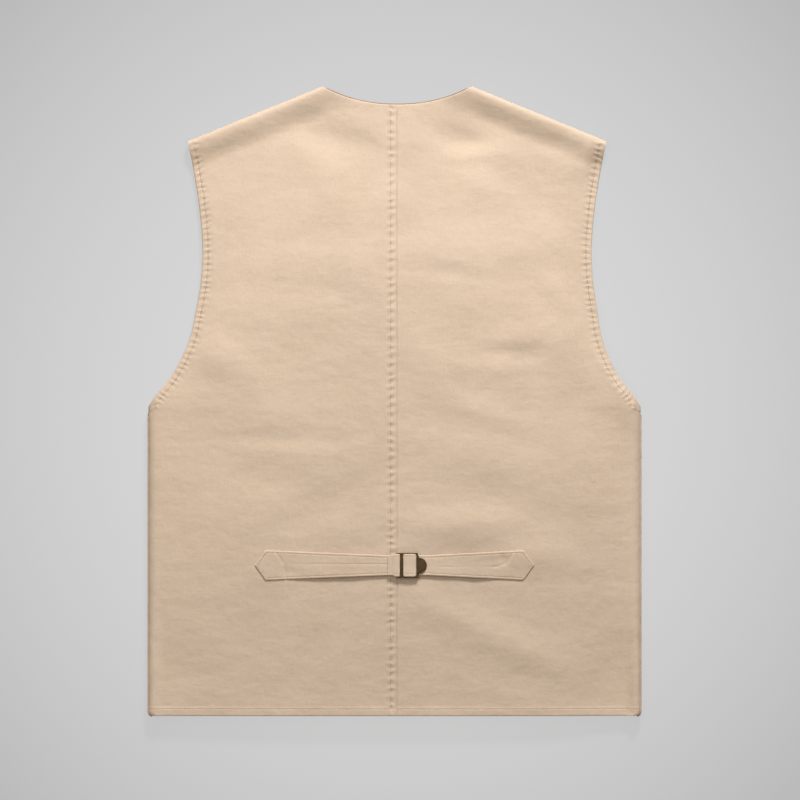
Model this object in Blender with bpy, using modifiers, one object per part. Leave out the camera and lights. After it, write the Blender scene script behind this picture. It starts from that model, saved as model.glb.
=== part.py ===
"""Utility work vest, lying closed and face down with its back up.

+Z points up out of the back, +Y to the neck and -X to the wearer's left. The origin is on the
surface that the vest rests on, under the middle of its outline. All lengths are in metres.
"""

import bisect
import math
from collections import namedtuple

import bmesh
import bpy
import numpy as np
from mathutils import Vector

# Outline of the vest as it lies flat
BODY_LENGTH = 0.703  # hem to neck point
CHEST_WIDTH = 0.550  # side fold to side fold
NECK_WIDTH = 0.168  # neck point to neck point
NECK_DROP = 0.0205  # neck points down to the middle of the back neckline
SHOULDER_DROP = 0.061  # neck point down to shoulder tip
ARMHOLE_DEPTH = 0.297  # shoulder tip down to underarm
ARMHOLE_INSET = 0.0575  # side fold in to the narrowest place of the back
FRONT_CUT = 0.0205  # the front's armhole is cut this much deeper
FRONT_NECK_DEPTH = 0.215  # neck point down to the bottom of the front's V
SEAM_SHIFT = 0.0028  # the centre seam lies this far to the right of the hem's middle

# Cloth
CLOTH = 0.0012  # one layer of twill
HEM_CLOTH = 0.0022  # the turned-up hem
HEM_WIDTH = 0.009
BAND_CLOTH = 0.0020  # folded edge of armholes and neck
ARM_BAND = 0.007  # width of an armhole band
NECK_BAND = 0.008  # width of the neck band
LAP_WIDTH = 0.008  # raised lap of the centre seam
LAP_RISE = 0.0006
PLACKET_WIDTH = 0.030
PLACKET_CLOTH = 0.0026
GAP = 0.0003  # left between neighbouring pieces
BAND_GAP = 0.0005  # left between a panel and its bands

# Heights over the surface that it rests on
SIDE_ROLL = 0.009  # radius of the fold down each side
SHOULDER_ROLL = 0.007  # radius of the fold along each shoulder
ARM_ROLL = 0.0025  # how far the free armhole edge turns down
ARM_LEVEL = 0.0130  # the back along the armhole
CROWN = 0.0300  # the middle of the back
HEM_CROWN = 0.0240  # the middle of the back at the hem
SHOULDER_RUN = 0.130  # the back climbs from the shoulder fold to its crown over this length
VALLEY_DEPTH = 0.0050  # hollow that runs under the shoulder fold
VALLEY_DOWN = 0.032  # from the shoulder fold down to the hollow
VALLEY_WIDTH = 0.020
FOLD_RISE = 0.0030  # a usual fold of the back

# Cinch straps
STRAP_HEIGHT = 0.1685  # hem to the straps' middle
STRAP_REACH = 0.155  # the outline's middle to a strap's point
POINT_LENGTH = 0.0120  # the pointed part of a strap's sewn end
SEWN_LENGTH = 0.026  # point to the crease where the strap lifts off
TAB_WIDTH = 0.0325
STRAP_END_WIDTH = 0.0215  # at the buckle
STRAP_CLOTH = 0.0013
STRAP_LIFT = 0.0020  # how far the free stretch stands off the back
SEAT_GAP = 0.0006  # under a sewn end
LOOP_RETURN = 0.0087  # how far the left strap's end comes back past the first bar

# Buckle, a flat plate with three slots and a rounded tongue
BUCKLE_START = 0.0014  # the first bar's left edge, from the outline's middle
BUCKLE_PLATE = 0.0016  # thickness of the metal
RAIL_WIDTH = 0.0025
FIRST_BAR = 0.0030
MIDDLE_BAR = 0.0029
CATCH_BAR = 0.0090
ROOT_SLOT = 0.0044  # slot beside the tongue
TONGUE_LENGTH = 0.0115
TONGUE_SHOULDER = 0.0012  # the tongue's widest part, before it narrows
TONGUE_TIP = 0.0087  # half height where its round end starts

# Mesh steps
ROLL_STEPS = 4
SIDE_ROWS = 19
FRONT_ROWS = 5
V_ROWS = 6
ARM_ROWS = 13
NECK_COLUMNS = 4
SHOULDER_COLUMNS = 5
STRAP_STEPS = 9
STRAP_ACROSS = 4
ARC_STEPS = 8

# Shape of a few curves
CROWN_POWER = 2.4  # how flat the back is across
NECK_POWER = 2.2  # how late the back neckline turns up
ROLL_EASE = 1.7  # the steps of a rolled edge are shorter near its seam

# An armhole's edge, from the shoulder tip down: down is a share of its depth, and inset, how far
# in the edge lies, is a share of the inset at the narrowest place
ArmholeRow = namedtuple("ArmholeRow", "down inset")
ARMHOLE = [
    ArmholeRow(down=0.00, inset=0.72),
    ArmholeRow(down=0.10, inset=0.815),
    ArmholeRow(down=0.22, inset=0.915),
    ArmholeRow(down=0.33, inset=0.978),
    ArmholeRow(down=0.42, inset=1.00),
    ArmholeRow(down=0.52, inset=0.975),
    ArmholeRow(down=0.64, inset=0.88),
    ArmholeRow(down=0.75, inset=0.765),
    ArmholeRow(down=0.83, inset=0.60),
    ArmholeRow(down=0.90, inset=0.39),
    ArmholeRow(down=0.95, inset=0.175),
    ArmholeRow(down=1.00, inset=0.00),
]

# Folds of the back. across is from the centre seam, as a share of half the chest, and up is from
# the hem, as a share of the body length. long and wide are half the fold's length and width, as
# shares of the body length. turn is in degrees. rise is a share of the usual rise, and below zero
# in a hollow.
Fold = namedtuple("Fold", "across up long wide turn rise")
FOLDS = [
    Fold(across=-0.47, up=0.720, long=0.070, wide=0.022, turn=3, rise=0.6),
    Fold(across=0.28, up=0.733, long=0.065, wide=0.020, turn=-4, rise=0.9),
    Fold(across=-0.20, up=0.633, long=0.060, wide=0.022, turn=-8, rise=0.5),
    Fold(across=0.53, up=0.575, long=0.060, wide=0.018, turn=2, rise=-0.9),
    Fold(across=-0.76, up=0.562, long=0.055, wide=0.018, turn=-62, rise=0.7),
    Fold(across=-0.50, up=0.447, long=0.150, wide=0.016, turn=0, rise=-0.6),
    Fold(across=0.27, up=0.500, long=0.060, wide=0.020, turn=-22, rise=0.6),
    Fold(across=-0.42, up=0.412, long=0.090, wide=0.024, turn=4, rise=0.7),
    Fold(across=0.44, up=0.390, long=0.060, wide=0.024, turn=-10, rise=0.7),
    Fold(across=0.25, up=0.312, long=0.075, wide=0.020, turn=2, rise=1.0),
    Fold(across=-0.31, up=0.295, long=0.075, wide=0.018, turn=2, rise=0.6),
    Fold(across=-0.05, up=0.163, long=0.090, wide=0.020, turn=-3, rise=0.6),
    Fold(across=0.42, up=0.112, long=0.090, wide=0.020, turn=-25, rise=0.8),
]

# Colour, roughness and metallic value of each finish
TWILL = ("twill", (0.64, 0.50, 0.36, 1.0), 0.90, 0.0)
TWILL_EDGE = ("twill_edge", (0.66, 0.52, 0.38, 1.0), 0.88, 0.0)
BRONZE = ("dark_bronze", (0.115, 0.075, 0.035, 1.0), 0.42, 1.0)

# Worked out from the sizes above
HEM_Y = -BODY_LENGTH / 2
NECK_Y = BODY_LENGTH / 2
TIP_Y = NECK_Y - SHOULDER_DROP
V_Y = NECK_Y - FRONT_NECK_DEPTH
HALF_CHEST = CHEST_WIDTH / 2
HALF_NECK = NECK_WIDTH / 2
HALF_PLACKET = PLACKET_WIDTH / 2
TIP_REACH = HALF_CHEST - ARMHOLE[0].inset * ARMHOLE_INSET
SHOULDER_FALL = SHOULDER_DROP / (TIP_REACH - HALF_NECK)
SHOULDER_COS = 1 / math.hypot(1, SHOULDER_FALL)
STRAP_Y = HEM_Y + STRAP_HEIGHT
STRAP_SLOT = STRAP_CLOTH + 2 * GAP
SLOT_HALF = STRAP_END_WIDTH / 2 + 2 * GAP
BUCKLE_HALF = SLOT_HALF + RAIL_WIDTH
FIRST_SLOT_X = BUCKLE_START + FIRST_BAR
MIDDLE_BAR_X = FIRST_SLOT_X + STRAP_SLOT
SECOND_SLOT_X = MIDDLE_BAR_X + MIDDLE_BAR
CATCH_BAR_X = SECOND_SLOT_X + STRAP_SLOT
ROOT_SLOT_X = CATCH_BAR_X + CATCH_BAR
TONGUE_X = ROOT_SLOT_X + ROOT_SLOT
TONGUE_END_X = TONGUE_X + TONGUE_LENGTH


def smooth(share):
    """0 below 0, 1 above 1 and an even S between them."""
    share = min(max(share, 0.0), 1.0)
    return share * share * (3 - 2 * share)


def mix(a, b, share):
    return a + (b - a) * share


def bump(distance, width):
    return math.exp(-((distance / width) ** 2))


def through(rows, at):
    """A smooth curve through a table's rows, read at one place of its first column."""
    places = [row[0] for row in rows]
    values = [row[1] for row in rows]
    slopes = np.gradient(values, places)
    k = min(max(bisect.bisect(places, at) - 1, 0), len(places) - 2)
    span = places[k + 1] - places[k]
    s = (at - places[k]) / span
    first = (1 + 2 * s) * (1 - s) ** 2 * values[k] + s * (1 - s) ** 2 * span * slopes[k]
    second = s * s * (3 - 2 * s) * values[k + 1] - s * s * (1 - s) * span * slopes[k + 1]
    return float(first + second)


def solve(function, target, low, high):
    """Where a function that only rises or only falls between low and high has the target value."""
    rising = function(high) > function(low)
    for _ in range(40):
        middle = (low + high) / 2
        if (function(middle) < target) == rising:
            low = middle
        else:
            high = middle
    return (low + high) / 2


def roll_turns():
    """Angles that divide a rolled edge's quarter turn, from its seam on."""
    return [math.pi / 2 * (k / ROLL_STEPS) ** ROLL_EASE for k in range(ROLL_STEPS + 1)]


def roll_depths(radius):
    """How far in from its seam line each of those angles lies, seen from above."""
    return [radius * (1 - math.cos(turn)) for turn in roll_turns()]


# Half the gap left at a side or shoulder seam, which keeps the inner edges of the cloth clear too
SEAM_HALF_GAP = GAP / 2 + HEM_CLOTH * math.sin(roll_turns()[1])


def roll_drop(depth, radius):
    """How far a rolled edge has turned away at a depth in from its seam line."""
    inward = min(max(depth, 0.0), radius)
    return min(radius - math.sqrt(radius**2 - (radius - inward) ** 2), radius - SEAM_HALF_GAP)


def armhole_edge(side, down, cut):
    """Plan place of an armhole's edge, at a share of its depth."""
    inset = ARMHOLE_INSET * through(ARMHOLE, down) - side * SEAM_SHIFT * smooth(2 - 2 * down)
    inset += cut * math.sin(math.pi * down) ** 2
    return Vector((side * (HALF_CHEST - inset), TIP_Y - down * ARMHOLE_DEPTH))


def shoulder_y(x):
    """The shoulder line, carried on in an arc above the neckline."""
    out = abs(x - SEAM_SHIFT)
    if out < HALF_NECK:
        out = (out * out / HALF_NECK + HALF_NECK) / 2
    return NECK_Y - (out - HALF_NECK) * SHOULDER_FALL


def back_neck_edge(side, share):
    """Plan place of the back neckline, from the centre seam out to the neck point."""
    return Vector((SEAM_SHIFT + side * share * HALF_NECK, NECK_Y - NECK_DROP * (1 - share**NECK_POWER)))


def front_neck_edge(side, share):
    """Plan place of the front's V, from the placket out to the neck point."""
    return Vector((SEAM_SHIFT + side * mix(HALF_PLACKET + GAP, HALF_NECK, share), mix(V_Y, NECK_Y, share)))


def armhole_share(y):
    return min(max((TIP_Y - y) / ARMHOLE_DEPTH, 0.0), 1.0)


def half_width(y):
    """Half the back's width at a height, to its side fold or armhole."""
    return HALF_CHEST - ARMHOLE_INSET * through(ARMHOLE, armhole_share(y))


def edge_level(y):
    """Height of the back beside its side fold or armhole."""
    down = armhole_share(y)
    to_side = smooth((down - 0.6) / 0.4)
    to_shoulder = 1 - smooth(down / 0.25)
    side_part = (2 * SIDE_ROLL - ARM_LEVEL) * to_side
    return ARM_LEVEL + side_part + (2 * SHOULDER_ROLL - ARM_LEVEL) * to_shoulder


def fold_height(x, y):
    """All folds of the back together, at one place."""
    total = 0.0
    for fold in FOLDS:
        from_x = x - SEAM_SHIFT - fold.across * HALF_CHEST
        from_y = y - HEM_Y - fold.up * BODY_LENGTH
        turn = math.radians(fold.turn)
        along = from_x * math.cos(turn) + from_y * math.sin(turn)
        beside = from_y * math.cos(turn) - from_x * math.sin(turn)
        total += fold.rise * bump(along, fold.long * BODY_LENGTH) * bump(beside, fold.wide * BODY_LENGTH)
    return FOLD_RISE * total


def back_height(x, y):
    """Height of the back's outer face, with its folds and its rolled edges."""
    reach = half_width(y)
    below = max(shoulder_y(x) - y, 0.0)
    centre = mix(HEM_CROWN, CROWN, smooth(2 * (y - HEM_Y) / BODY_LENGTH))
    level = mix(edge_level(y), centre, 1 - min(abs(x) / reach, 1.0) ** CROWN_POWER)
    level = mix(2 * SHOULDER_ROLL, level, smooth(below / SHOULDER_RUN))
    off_neck = smooth((abs(x - SEAM_SHIFT) - HALF_NECK / 4) / HALF_NECK) * smooth(below / SHOULDER_ROLL)
    level -= VALLEY_DEPTH * off_neck * bump(below - VALLEY_DOWN, VALLEY_WIDTH)
    inside = smooth((reach - abs(x)) / (4 * SIDE_ROLL)) * smooth((below - SHOULDER_ROLL) / VALLEY_DOWN)
    level += inside * fold_height(x, y)
    if SEAM_SHIFT - LAP_WIDTH - GAP < x < SEAM_SHIFT:
        level += LAP_RISE
    level -= roll_drop(HALF_CHEST - abs(x), SIDE_ROLL)
    return level - roll_drop(below * SHOULDER_COS, SHOULDER_ROLL)


def front_height(x, y):
    """Height of the front's outer face, which lies flat and rolls up to its seams."""
    below = (shoulder_y(x) - y) * SHOULDER_COS
    return roll_drop(HALF_CHEST - abs(x), SIDE_ROLL) + roll_drop(below, SHOULDER_ROLL)


# A place on a cloth edge: edge is its plan place, and inward the way and length that 1 m of band
# width takes from there
Station = namedtuple("Station", "edge inward share")


def stations(edge, shares, side, first_way, last_way, first_run, last_run):
    """Stations along an edge. Their bands run square to it, apart from the ends, which turn to
    the seams that they end on."""
    found = []
    for share in shares:
        step = 0.01
        tangent = (edge(min(share + step, 1.0)) - edge(max(share - step, 0.0))).normalized()
        square = Vector((side * tangent.y, -side * tangent.x))
        ending = smooth((share - 1 + last_run) / last_run)
        way = first_way.lerp(square, smooth(share / first_run)).lerp(last_way, ending).normalized()
        found.append(Station(edge(share), way * mix(1 / way.dot(square), 1.0, ending), share))
    return found


def armhole_stations(side, cut):
    """From the shoulder seam down to the side seam."""
    def edge(down):
        return armhole_edge(side, down, cut)

    top = [depth / ARMHOLE_DEPTH for depth in roll_depths(SHOULDER_ROLL)]
    foot = [solve(lambda down: abs(edge(down).x), HALF_CHEST - d, 0.5, 1.0) for d in roll_depths(SIDE_ROLL)]
    foot[0] = 1.0
    middle = [mix(top[-1], foot[-1], k / ARM_ROWS) for k in range(1, ARM_ROWS)]
    up_shoulder = Vector((-side, SHOULDER_FALL)) * SHOULDER_COS
    run = 1 - foot[-1]
    return stations(edge, top + middle + foot[::-1], side, up_shoulder, Vector((0.0, -1.0)), run, run)


def neck_stations(side, edge_of, columns):
    """From the middle of the neckline out to the shoulder seam."""
    def edge(share):
        return edge_of(side, share)

    def below(share):
        return (shoulder_y(edge(share).x) - edge(share).y) * SHOULDER_COS

    rolled = [solve(below, depth, 0.5, 1.0) for depth in roll_depths(SHOULDER_ROLL)]
    rolled[0] = 1.0
    body = [mix(0.0, rolled[-1], k / columns) for k in range(columns)]
    down_shoulder = Vector((side, -SHOULDER_FALL)) * SHOULDER_COS
    run = 2 * (1 - rolled[-1])
    return stations(edge, body + rolled[::-1], side, Vector((0.0, -1.0)), down_shoulder, run, run)


def inner_edge(line, width):
    return [station.edge + station.inward * width for station in line]


def share_along(points, k):
    """How far along the line from its first point to its last one a point lies."""
    span = points[-1] - points[0]
    return (points[k] - points[0]).dot(span) / span.length_squared


def filled(bottom, top, left, right):
    """Rows of plan places that fill four joined edges, after Coons."""
    rows = []
    for j, (start, end) in enumerate(zip(left, right)):
        height = (share_along(left, j) + share_along(right, j)) / 2
        row = []
        for k, (low, high) in enumerate(zip(bottom, top)):
            across = mix(share_along(bottom, k), share_along(top, k), height)
            corners = bottom[0].lerp(bottom[-1], across).lerp(top[0].lerp(top[-1], across), height)
            row.append(low.lerp(high, height) + start.lerp(end, across) - corners)
        rows.append(row)
    return rows


def material(finish):
    name, colour, roughness, metallic = finish
    made = bpy.data.materials.get(name)
    if made is None:
        made = bpy.data.materials.new(name)
        made.use_nodes = True
        shader = made.node_tree.nodes["Principled BSDF"]
        shader.inputs["Base Color"].default_value = colour
        shader.inputs["Roughness"].default_value = roughness
        shader.inputs["Metallic"].default_value = metallic
    return made


def add(name, data, finish, collection):
    made = bpy.data.objects.new(name, data)
    data.materials.append(material(finish))
    collection.objects.link(made)
    return made


def cloth(name, rows, thickness, offset, finish, collection, turned=False, ring=False, hem_rows=0):
    """A cloth piece: a grid bent to rows of places and given its thickness. A turned piece has
    its outer face on the grid's other side, and a ring's last row is its first one."""
    columns, lines = len(rows[0]) - 1, len(rows) - 1
    bm = bmesh.new()
    bmesh.ops.create_grid(bm, x_segments=columns, y_segments=lines, size=1.0)
    layers = bm.verts.layers.deform.verify()
    for corner in bm.verts:
        column = round((corner.co.x + 1) / 2 * columns)
        line = round((corner.co.y + 1) / 2 * lines)
        corner.co = rows[line][column]
        if line < hem_rows:
            corner[layers][0] = 1.0
    if turned:
        bmesh.ops.reverse_faces(bm, faces=bm.faces)
    if ring:
        bmesh.ops.remove_doubles(bm, verts=bm.verts, dist=GAP / 100)
    mesh = bpy.data.meshes.new(name)
    bm.to_mesh(mesh)
    bm.free()
    mesh.shade_smooth()
    made = add(name, mesh, finish, collection)
    wall = made.modifiers.new("wall", "SOLIDIFY")
    wall.thickness = thickness
    wall.offset = offset
    if hem_rows:
        made.vertex_groups.new(name="hem")
        wall.vertex_group = "hem"
        wall.thickness_vertex_group = CLOTH / thickness
    return made


def lifted(place, height):
    return Vector((place.x, place.y, height(place.x, place.y)))


def up_from_hem(foot, goal, rows_up):
    """The lower part of an upright edge, with two rows round the turned-up hem."""
    hem_top = foot + Vector((0.0, HEM_WIDTH))
    body_foot = hem_top + Vector((0.0, HEM_CLOTH))
    return [foot, hem_top] + [body_foot.lerp(goal, k / rows_up) for k in range(rows_up)]


def along_hem(side, middle_x, laps, columns):
    """A panel's bottom edge, from its middle out to the side fold."""
    rolled = roll_depths(SIDE_ROLL)[::-1]
    inner_x = side * (HALF_CHEST - rolled[0])
    xs = [mix(middle_x, inner_x, k / columns) for k in range(columns)]
    xs[1:1] = [middle_x + side * lap for lap in laps]
    return [Vector((x, HEM_Y)) for x in xs + [side * (HALF_CHEST - depth) for depth in rolled]]


def along_shoulder(neck_end, arm_end):
    """A panel's shoulder edge, from its neck end to its armhole end."""
    way = (arm_end - neck_end).normalized()
    rolled = [arm_end - way * depth for depth in roll_depths(SIDE_ROLL)[::-1]]
    return [neck_end.lerp(rolled[0], k / SHOULDER_COLUMNS) for k in range(SHOULDER_COLUMNS)] + rolled


def back_panel(name, side, collection):
    """Half of the back, from the centre seam to the side fold and the armhole band."""
    arm_line = inner_edge(armhole_stations(side, 0.0), ARM_BAND + BAND_GAP)
    neck_line = inner_edge(neck_stations(side, back_neck_edge, NECK_COLUMNS), NECK_BAND + BAND_GAP)
    middle_x = SEAM_SHIFT + side * GAP / 2
    neck_line[0].x = middle_x
    outer_line = up_from_hem(Vector((side * HALF_CHEST, HEM_Y)), arm_line[-1], SIDE_ROWS) + arm_line[::-1]
    stretch = (neck_line[0].y - HEM_Y) / (outer_line[-1].y - HEM_Y)
    middle_line = [Vector((middle_x, HEM_Y + (place.y - HEM_Y) * stretch)) for place in outer_line]
    for k, depth in enumerate(roll_depths(SHOULDER_ROLL)):
        middle_line[-1 - k].y = neck_line[0].y - depth
    laps = [LAP_WIDTH, LAP_WIDTH + 4 * GAP] if side < 0 else []
    lap_top = [neck_line[0].lerp(neck_line[1], lap / abs(neck_line[1].x - middle_x)) for lap in laps]
    top_line = neck_line[:1] + lap_top + neck_line[1:] + along_shoulder(neck_line[-1], arm_line[0])[1:]
    hem_line = along_hem(side, middle_x, laps, len(neck_line) + SHOULDER_COLUMNS - 1)
    rows = filled(hem_line, top_line, middle_line, outer_line)
    rows = [[lifted(place, back_height) for place in row] for row in rows]
    return cloth(name, rows, HEM_CLOTH, -1, TWILL, collection, turned=side < 0, hem_rows=2)


def front_panel(name, side, collection):
    """Half of the front, from the placket and the V's band to the side fold and armhole band."""
    arm_line = inner_edge(armhole_stations(side, FRONT_CUT), ARM_BAND + BAND_GAP)
    neck_line = inner_edge(neck_stations(side, front_neck_edge, V_ROWS), NECK_BAND + BAND_GAP)
    outer_line = up_from_hem(Vector((side * HALF_CHEST, HEM_Y)), arm_line[-1], FRONT_ROWS) + arm_line[::-1]
    middle_x = neck_line[0].x
    rows_up = len(outer_line) - len(neck_line) - 2
    middle_line = up_from_hem(Vector((middle_x, HEM_Y)), neck_line[0], rows_up) + neck_line
    top_line = along_shoulder(neck_line[-1], arm_line[0])
    rows = filled(along_hem(side, middle_x, [], SHOULDER_COLUMNS), top_line, middle_line, outer_line)
    rows = [[lifted(place, front_height) for place in row] for row in rows]
    return cloth(name, rows, HEM_CLOTH, -1, TWILL, collection, turned=side > 0, hem_rows=2)


def armhole_band(name, side, collection):
    """The folded edge round one armhole, over the shoulder and under the arm in one ring."""
    across = [0.0, ARM_ROLL / 3, ARM_ROLL, ARM_BAND]
    rows = []
    for station in armhole_stations(side, 0.0):
        free = smooth(8 * station.share) * smooth(8 * (1 - station.share))
        row = []
        for width in across:
            place = lifted(station.edge + station.inward * width, back_height)
            place.z -= free * roll_drop(width, ARM_ROLL)
            row.append(place)
        rows.append(row)
    for station in reversed(armhole_stations(side, FRONT_CUT)):
        rows.append([lifted(station.edge + station.inward * width, front_height) for width in across])
    rows.append(rows[0])
    return cloth(name, rows, BAND_CLOTH, -1, TWILL_EDGE, collection, turned=side < 0, ring=True)


def neck_band(name, collection):
    """The folded edge of the back neckline, carried over both shoulders and down the front's V."""
    across = [0.0, NECK_BAND / 2, NECK_BAND]
    rows = []
    for side in (-1, 1):
        front = neck_stations(side, front_neck_edge, V_ROWS)
        back = neck_stations(side, back_neck_edge, NECK_COLUMNS)
        half = [[lifted(s.edge + s.inward * width, front_height) for width in across] for s in front]
        half += [[lifted(s.edge + s.inward * width, back_height) for width in across] for s in back[::-1]]
        rows += half if side < 0 else half[::-1][1:]
    return cloth(name, rows, BAND_CLOTH, -1, TWILL_EDGE, collection)


def placket(name, collection):
    """The front closure, a plain strip between the two halves of the front."""
    bm = bmesh.new()
    bmesh.ops.create_cube(bm, size=1.0)
    bmesh.ops.scale(bm, vec=(PLACKET_WIDTH, V_Y - HEM_Y, PLACKET_CLOTH), verts=bm.verts)
    bmesh.ops.translate(bm, vec=(SEAM_SHIFT, (V_Y + HEM_Y) / 2, PLACKET_CLOTH / 2), verts=bm.verts)
    mesh = bpy.data.meshes.new(name)
    bm.to_mesh(mesh)
    bm.free()
    return add(name, mesh, TWILL_EDGE, collection)


def highest_under_buckle():
    """The back's highest place under the buckle and the strap ends beside it."""
    low, high = BUCKLE_START - LOOP_RETURN, TONGUE_END_X
    return max(
        back_height(mix(low, high, i / ARC_STEPS), STRAP_Y + BUCKLE_HALF * (2 * j / ARC_STEPS - 1))
        for i in range(ARC_STEPS + 1)
        for j in range(ARC_STEPS + 1)
    )


# The strap's middle lies this far from the buckle's middle plane, over or under it
STRAP_OFF = BUCKLE_PLATE / 2 + GAP + STRAP_CLOTH / 2
BUCKLE_Z = highest_under_buckle() + SEAT_GAP + STRAP_CLOTH / 2 + STRAP_OFF


def strap_run(side, held_x):
    """Rows of a strap, from its sewn point to where it lies level under the buckle."""
    point_x = side * STRAP_REACH
    corner_x = point_x - side * POINT_LENGTH
    crease_x = point_x - side * SEWN_LENGTH
    blend_length = abs(corner_x - held_x) / 3
    xs = [point_x, corner_x] + [mix(crease_x, held_x, k / STRAP_STEPS) for k in range(STRAP_STEPS + 1)]

    def place(x, share):
        tapered = mix(TAB_WIDTH, STRAP_END_WIDTH, (x - corner_x) / (held_x - corner_x))
        y = STRAP_Y + share * (0.0 if x == point_x else tapered / 2)
        seat = back_height(x, y) + SEAT_GAP + STRAP_CLOTH / 2
        lift = STRAP_LIFT * smooth((abs(crease_x) - abs(x)) / blend_length)
        held = 1 - smooth(abs(x - held_x) / blend_length)
        return Vector((x, y, max(seat, mix(seat + lift, BUCKLE_Z - STRAP_OFF, held))))

    shares = [2 * k / STRAP_ACROSS - 1 for k in range(STRAP_ACROSS + 1)]
    return [[place(x, share) for share in shares] for x in xs]


def strap(name, side, held_x, path, collection):
    """A cinch strap: its run over the back, then its path of x and height through the buckle."""
    rows = strap_run(side, held_x)
    for x, z in path:
        rows.append([Vector((x, place.y, BUCKLE_Z + z)) for place in rows[-1]])
    return cloth(name, rows, STRAP_CLOTH, 0, TWILL_EDGE, collection, ring=True)


def straps(collection):
    """The left strap goes round the first bar. The right one comes up beside the tongue, goes
    over the catch bar and ends hidden under it."""
    off = STRAP_OFF
    clear = GAP + STRAP_CLOTH / 2
    cut = (2 - math.sqrt(2)) * clear
    loop_x = FIRST_SLOT_X + clear
    rest = -off + STRAP_CLOTH + GAP
    end_x = BUCKLE_START - LOOP_RETURN
    left = [
        (loop_x - cut, -off),
        (loop_x, cut - off),
        (loop_x, off - cut),
        (loop_x - cut, off),
        (BUCKLE_START - clear, off),
        (mix(BUCKLE_START, end_x, 0.45), rest),
        (end_x, rest),
    ]
    up_x = ROOT_SLOT_X + clear
    down_x = CATCH_BAR_X - clear
    right = [
        (up_x + cut, -off),
        (up_x, cut - off),
        (up_x, off - cut),
        (up_x - cut, off),
        (down_x + cut, off),
        (down_x, off - cut),
        (down_x, cut - off),
        (down_x + cut, -off),
        (ROOT_SLOT_X - 2 * GAP, -off),
    ]
    strap("strap_left", -1, end_x, left, collection)
    strap("strap_right", 1, TONGUE_END_X + STRAP_CLOTH, right, collection)


def outline(data, places):
    """Adds one closed outline to a flat curve."""
    line = data.splines.new("POLY")
    line.points.add(len(places) - 1)
    for point, (x, y) in zip(line.points, places):
        point.co = (x, STRAP_Y + y, 0.0, 1.0)
    line.use_cyclic_u = True


def buckle(name, collection):
    data = bpy.data.curves.new(name, "CURVE")
    data.dimensions = "2D"
    data.fill_mode = "BOTH"
    data.extrude = BUCKLE_PLATE / 2
    shoulder_x = TONGUE_X + TONGUE_SHOULDER
    round_start = TONGUE_END_X - TONGUE_TIP
    turns = [math.pi * (k / ARC_STEPS - 0.5) for k in range(ARC_STEPS + 1)]
    tip = [(round_start + TONGUE_TIP * math.cos(t), TONGUE_TIP * math.sin(t)) for t in turns]
    low = [(BUCKLE_START, -BUCKLE_HALF), (shoulder_x, -BUCKLE_HALF)]
    high = [(shoulder_x, BUCKLE_HALF), (BUCKLE_START, BUCKLE_HALF)]
    outline(data, low + tip + high)
    for start, end in (
        (FIRST_SLOT_X, MIDDLE_BAR_X),
        (SECOND_SLOT_X, CATCH_BAR_X),
        (ROOT_SLOT_X, TONGUE_X),
    ):
        outline(data, [(start, -SLOT_HALF), (end, -SLOT_HALF), (end, SLOT_HALF), (start, SLOT_HALF)])
    made = add(name, data, BRONZE, collection)
    made.location.z = BUCKLE_Z
    return made


def build():
    for leftover in list(bpy.data.objects):
        bpy.data.objects.remove(leftover)
    vest = bpy.data.collections.new("utility_work_vest")
    bpy.context.scene.collection.children.link(vest)
    for side, word in ((-1, "left"), (1, "right")):
        back_panel("back_panel_" + word, side, vest)
        front_panel("front_panel_" + word, side, vest)
        armhole_band("armhole_band_" + word, side, vest)
    neck_band("neck_band", vest)
    placket("front_placket", vest)
    straps(vest)
    buckle("buckle", vest)


build()
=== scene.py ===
# %% [markdown]
# # A utility work vest, laid out with its back up
#
# The vest is cut from tan cotton twill. Its back has two halves with a lapped seam between them,
# its armholes and neck are finished with folded bands, and two cinch straps meet at a bronze
# buckle. The CAD model gives each piece its place and its thickness. This script gives each piece
# the folds, stitches, weave and metal that a camera sees.

import math
from collections import namedtuple

import bmesh
import bpy
import numpy as np
from mathutils import Matrix, Vector


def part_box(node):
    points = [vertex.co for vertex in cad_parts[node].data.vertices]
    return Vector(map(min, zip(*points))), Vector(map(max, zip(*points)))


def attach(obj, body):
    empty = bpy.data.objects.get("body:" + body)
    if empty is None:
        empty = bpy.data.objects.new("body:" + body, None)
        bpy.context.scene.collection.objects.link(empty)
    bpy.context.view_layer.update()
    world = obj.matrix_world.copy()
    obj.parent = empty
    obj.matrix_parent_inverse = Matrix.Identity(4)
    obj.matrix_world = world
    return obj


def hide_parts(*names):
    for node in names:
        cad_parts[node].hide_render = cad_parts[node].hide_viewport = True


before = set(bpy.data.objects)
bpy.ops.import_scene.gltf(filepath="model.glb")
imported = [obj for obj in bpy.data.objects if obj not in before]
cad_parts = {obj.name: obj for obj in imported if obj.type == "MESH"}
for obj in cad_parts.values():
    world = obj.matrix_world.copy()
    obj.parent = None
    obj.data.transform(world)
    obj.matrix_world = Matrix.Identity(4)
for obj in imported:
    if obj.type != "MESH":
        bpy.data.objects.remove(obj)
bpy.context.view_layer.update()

# %% [markdown]
# ## The sizes
#
# The cloth has to lie where the solids lie, so the outline, the crown and the straps' places are
# the solids' own sizes, in metres. The bands' cloth, the armhole's roll, the slope and valleys
# below the shoulders and the straps' sewn ends differ from the solids, for the looks. +Y points to
# the neck and +Z up out of the back.

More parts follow.
